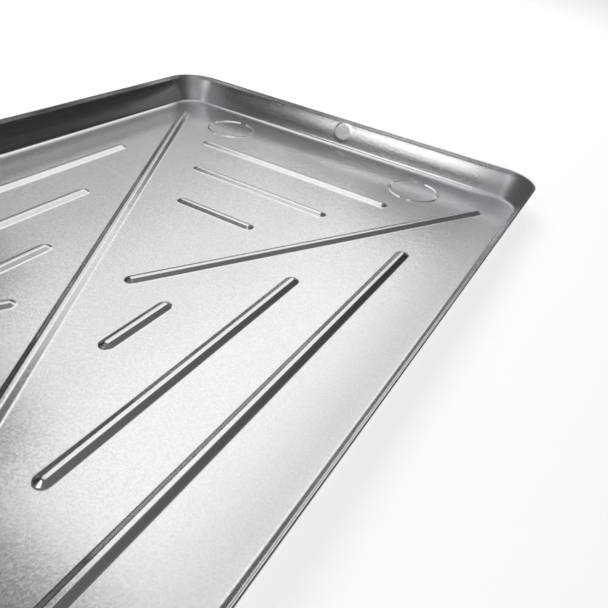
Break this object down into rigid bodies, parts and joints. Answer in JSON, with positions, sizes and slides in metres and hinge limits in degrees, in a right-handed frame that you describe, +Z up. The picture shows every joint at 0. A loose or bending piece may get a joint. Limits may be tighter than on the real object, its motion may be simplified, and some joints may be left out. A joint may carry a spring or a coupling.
{
  "type": "condensate drain pan",
  "caption": "Shallow rectangular pressed steel pan with round corners, sloping walls, raised stiffening ribs and a rolled rim, drained through a threaded plastic pipe fitting in one wall.",
  "frame": {"origin": "on the underside plane of the floor, in the middle of the pan", "axes": "+Z up out of the pan, +Y along its long side, away from the drain fitting, +X to the right seen from the fitting"},
  "size_m": [0.762, 1.3921, 0.0508],
  "materials": {
    "galvanised_sheet": "spangled zinc coating, satin",
    "white_pvc": "moulded, slightly glossy",
    "black_rubber": "smooth moulded"
  },
  "bodies": {
    "root": {"pan": "galvanised_sheet", "drain_adapter": "white_pvc", "drain_gasket": "black_rubber", "drain_locknut": "white_pvc"}
  },
  "joints": []
}
